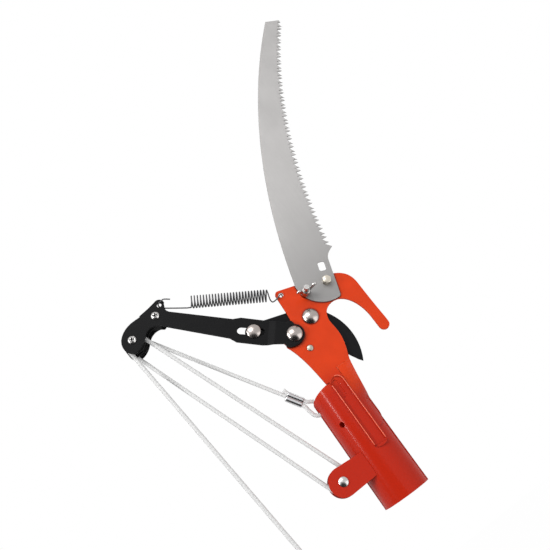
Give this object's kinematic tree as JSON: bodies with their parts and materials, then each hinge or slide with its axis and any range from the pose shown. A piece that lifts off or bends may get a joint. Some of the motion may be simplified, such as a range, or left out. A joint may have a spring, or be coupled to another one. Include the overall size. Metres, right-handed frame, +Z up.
{
  "type": "tree pruner head",
  "caption": "Rope-worked bypass pruner head with a curved saw, a sprung lever with a pulley block, and a round socket for a pole.",
  "frame": {"origin": "centre of the pole socket's bore, at its open lower mouth", "axes": "+Z up the pole's axis to the saw, +X towards the hook, -Y out of the head plate's front face"},
  "size_m": [0.35, 0.0683, 0.5449],
  "materials": {
    "plate_paint": "gloss orange-red paint",
    "lever_paint": "satin black paint",
    "blade_steel": "black non-stick coating",
    "saw_steel": "satin ground steel",
    "bright_fastener": "nickel plated",
    "zinc_fastener": "yellow zinc plated",
    "spring_wire": "oiled spring wire",
    "sheave_plastic": "moulded black",
    "ferrule_metal": "crimped",
    "rope_fibre": "braided white cord"
  },
  "bodies": {
    "head": {"head_plate": "plate_paint", "neck_shoulder": "plate_paint", "pole_socket": "plate_paint", "stop_rivet": "zinc_fastener", "main_pivot_bolt": "bright_fastener", "main_pivot_washer": "bright_fastener", "main_pivot_nut": "bright_fastener", "lever_pivot_bolt": "bright_fastener", "pulley_bracket": "plate_paint", "body_pulley_rivet": "bright_fastener", "saw_blade": "saw_steel", "saw_bolt": "zinc_fastener", "saw_bolt_nut": "zinc_fastener", "wing_stud": "bright_fastener", "rope_body_wrap": "rope_fibre"},
    "cutter": {"cutting_blade": "blade_steel", "slot_pin": "bright_fastener"},
    "lever": {"lever": "lever_paint", "mid_cheek": "lever_paint", "rear_cheek": "lever_paint", "block_spacers": "sheave_plastic", "block_screw": "bright_fastener", "sheave_axle_screw": "bright_fastener", "block_nuts": "bright_fastener", "rope_rear_wrap": "rope_fibre", "rope_front_wrap": "rope_fibre", "rope_anchor_run": "rope_fibre", "rope_lift_run": "rope_fibre", "rope_return_run": "rope_fibre"},
    "front_sheave": {"front_sheave": "sheave_plastic"},
    "rear_sheave": {"rear_sheave": "sheave_plastic"},
    "body_sheave": {"body_sheave": "sheave_plastic"},
    "wing_nut": {"wing_nut": "bright_fastener"},
    "spring": {"return_spring": "spring_wire"},
    "spring_end": {"spring_draw_hook": "spring_wire"},
    "rope_anchor": {"rope_eye": "rope_fibre", "rope_ferrule": "ferrule_metal"},
    "rope_tail": {"rope_tail": "rope_fibre", "tail_knot": "rope_fibre"}
  },
  "joints": [
    {"name": "lever_pivot", "type": "hinge", "parent": "head", "child": "lever", "pos_m": [-0.0035, -0.0265, 0.1765], "axis": [0, -1, 0], "range_deg": [0, 64], "stiffness_Nm_per_rad": 0.6, "springref_deg": -60.16, "deforming": ["rope_anchor_run", "rope_lift_run", "rope_return_run", "rope_front_wrap", "rope_rear_wrap"]},
    {"name": "blade_pivot", "type": "hinge", "parent": "head", "child": "cutter", "pos_m": [0.02, -0.0205, 0.183], "axis": [0, -1, 0], "range_deg": [0, 40.8]},
    {"name": "spring_swing", "type": "hinge", "parent": "head", "child": "spring", "pos_m": [0.0085, -0.02365, 0.2175], "axis": [0, -1, 0], "range_deg": [0, 59]},
    {"name": "spring_stretch", "type": "slide", "parent": "spring", "child": "spring_end", "axis": [-0.8754, 0, 0.4833], "range_m": [0, 0.0436], "deforming": ["return_spring", "spring_draw_hook"]},
    {"name": "rope_eye_swing", "type": "hinge", "parent": "head", "child": "rope_anchor", "pos_m": [-0.02275, 0, 0.1095], "axis": [0, -1, 0], "range_deg": [0, 63]},
    {"name": "tail_swing", "type": "hinge", "parent": "lever", "child": "rope_tail", "pos_m": [-0.13599, -0.0175, 0.25883], "axis": [0, -1, 0], "range_deg": [-64.2, 0]},
    {"name": "front_sheave_spin", "type": "hinge", "parent": "lever", "child": "front_sheave", "pos_m": [-0.13599, -0.0175, 0.25883], "axis": [0, -1, 0], "continuous": true},
    {"name": "rear_sheave_spin", "type": "hinge", "parent": "lever", "child": "rear_sheave", "pos_m": [-0.13599, -0.0055, 0.25883], "axis": [0, -1, 0], "continuous": true},
    {"name": "body_sheave_spin", "type": "hinge", "parent": "head", "child": "body_sheave", "pos_m": [-0.044, -0.0115, 0.041], "axis": [0, -1, 0], "continuous": true},
    {"name": "wing_nut_turn", "type": "hinge", "parent": "head", "child": "wing_nut", "pos_m": [0.0295, -0.03, 0.2046], "axis": [0, -1, 0], "continuous": true}
  ],
  "couplings": [
    {"joint": "blade_pivot", "follows": "lever_pivot", "ratio": 0.635},
    {"joint": "spring_swing", "follows": "lever_pivot", "ratio": 0.9175},
    {"joint": "spring_stretch", "follows": "lever_pivot", "m_per_rad": 0.03885},
    {"joint": "rope_eye_swing", "follows": "lever_pivot", "ratio": 0.97},
    {"joint": "tail_swing", "follows": "lever_pivot", "ratio": -1}
  ]
}
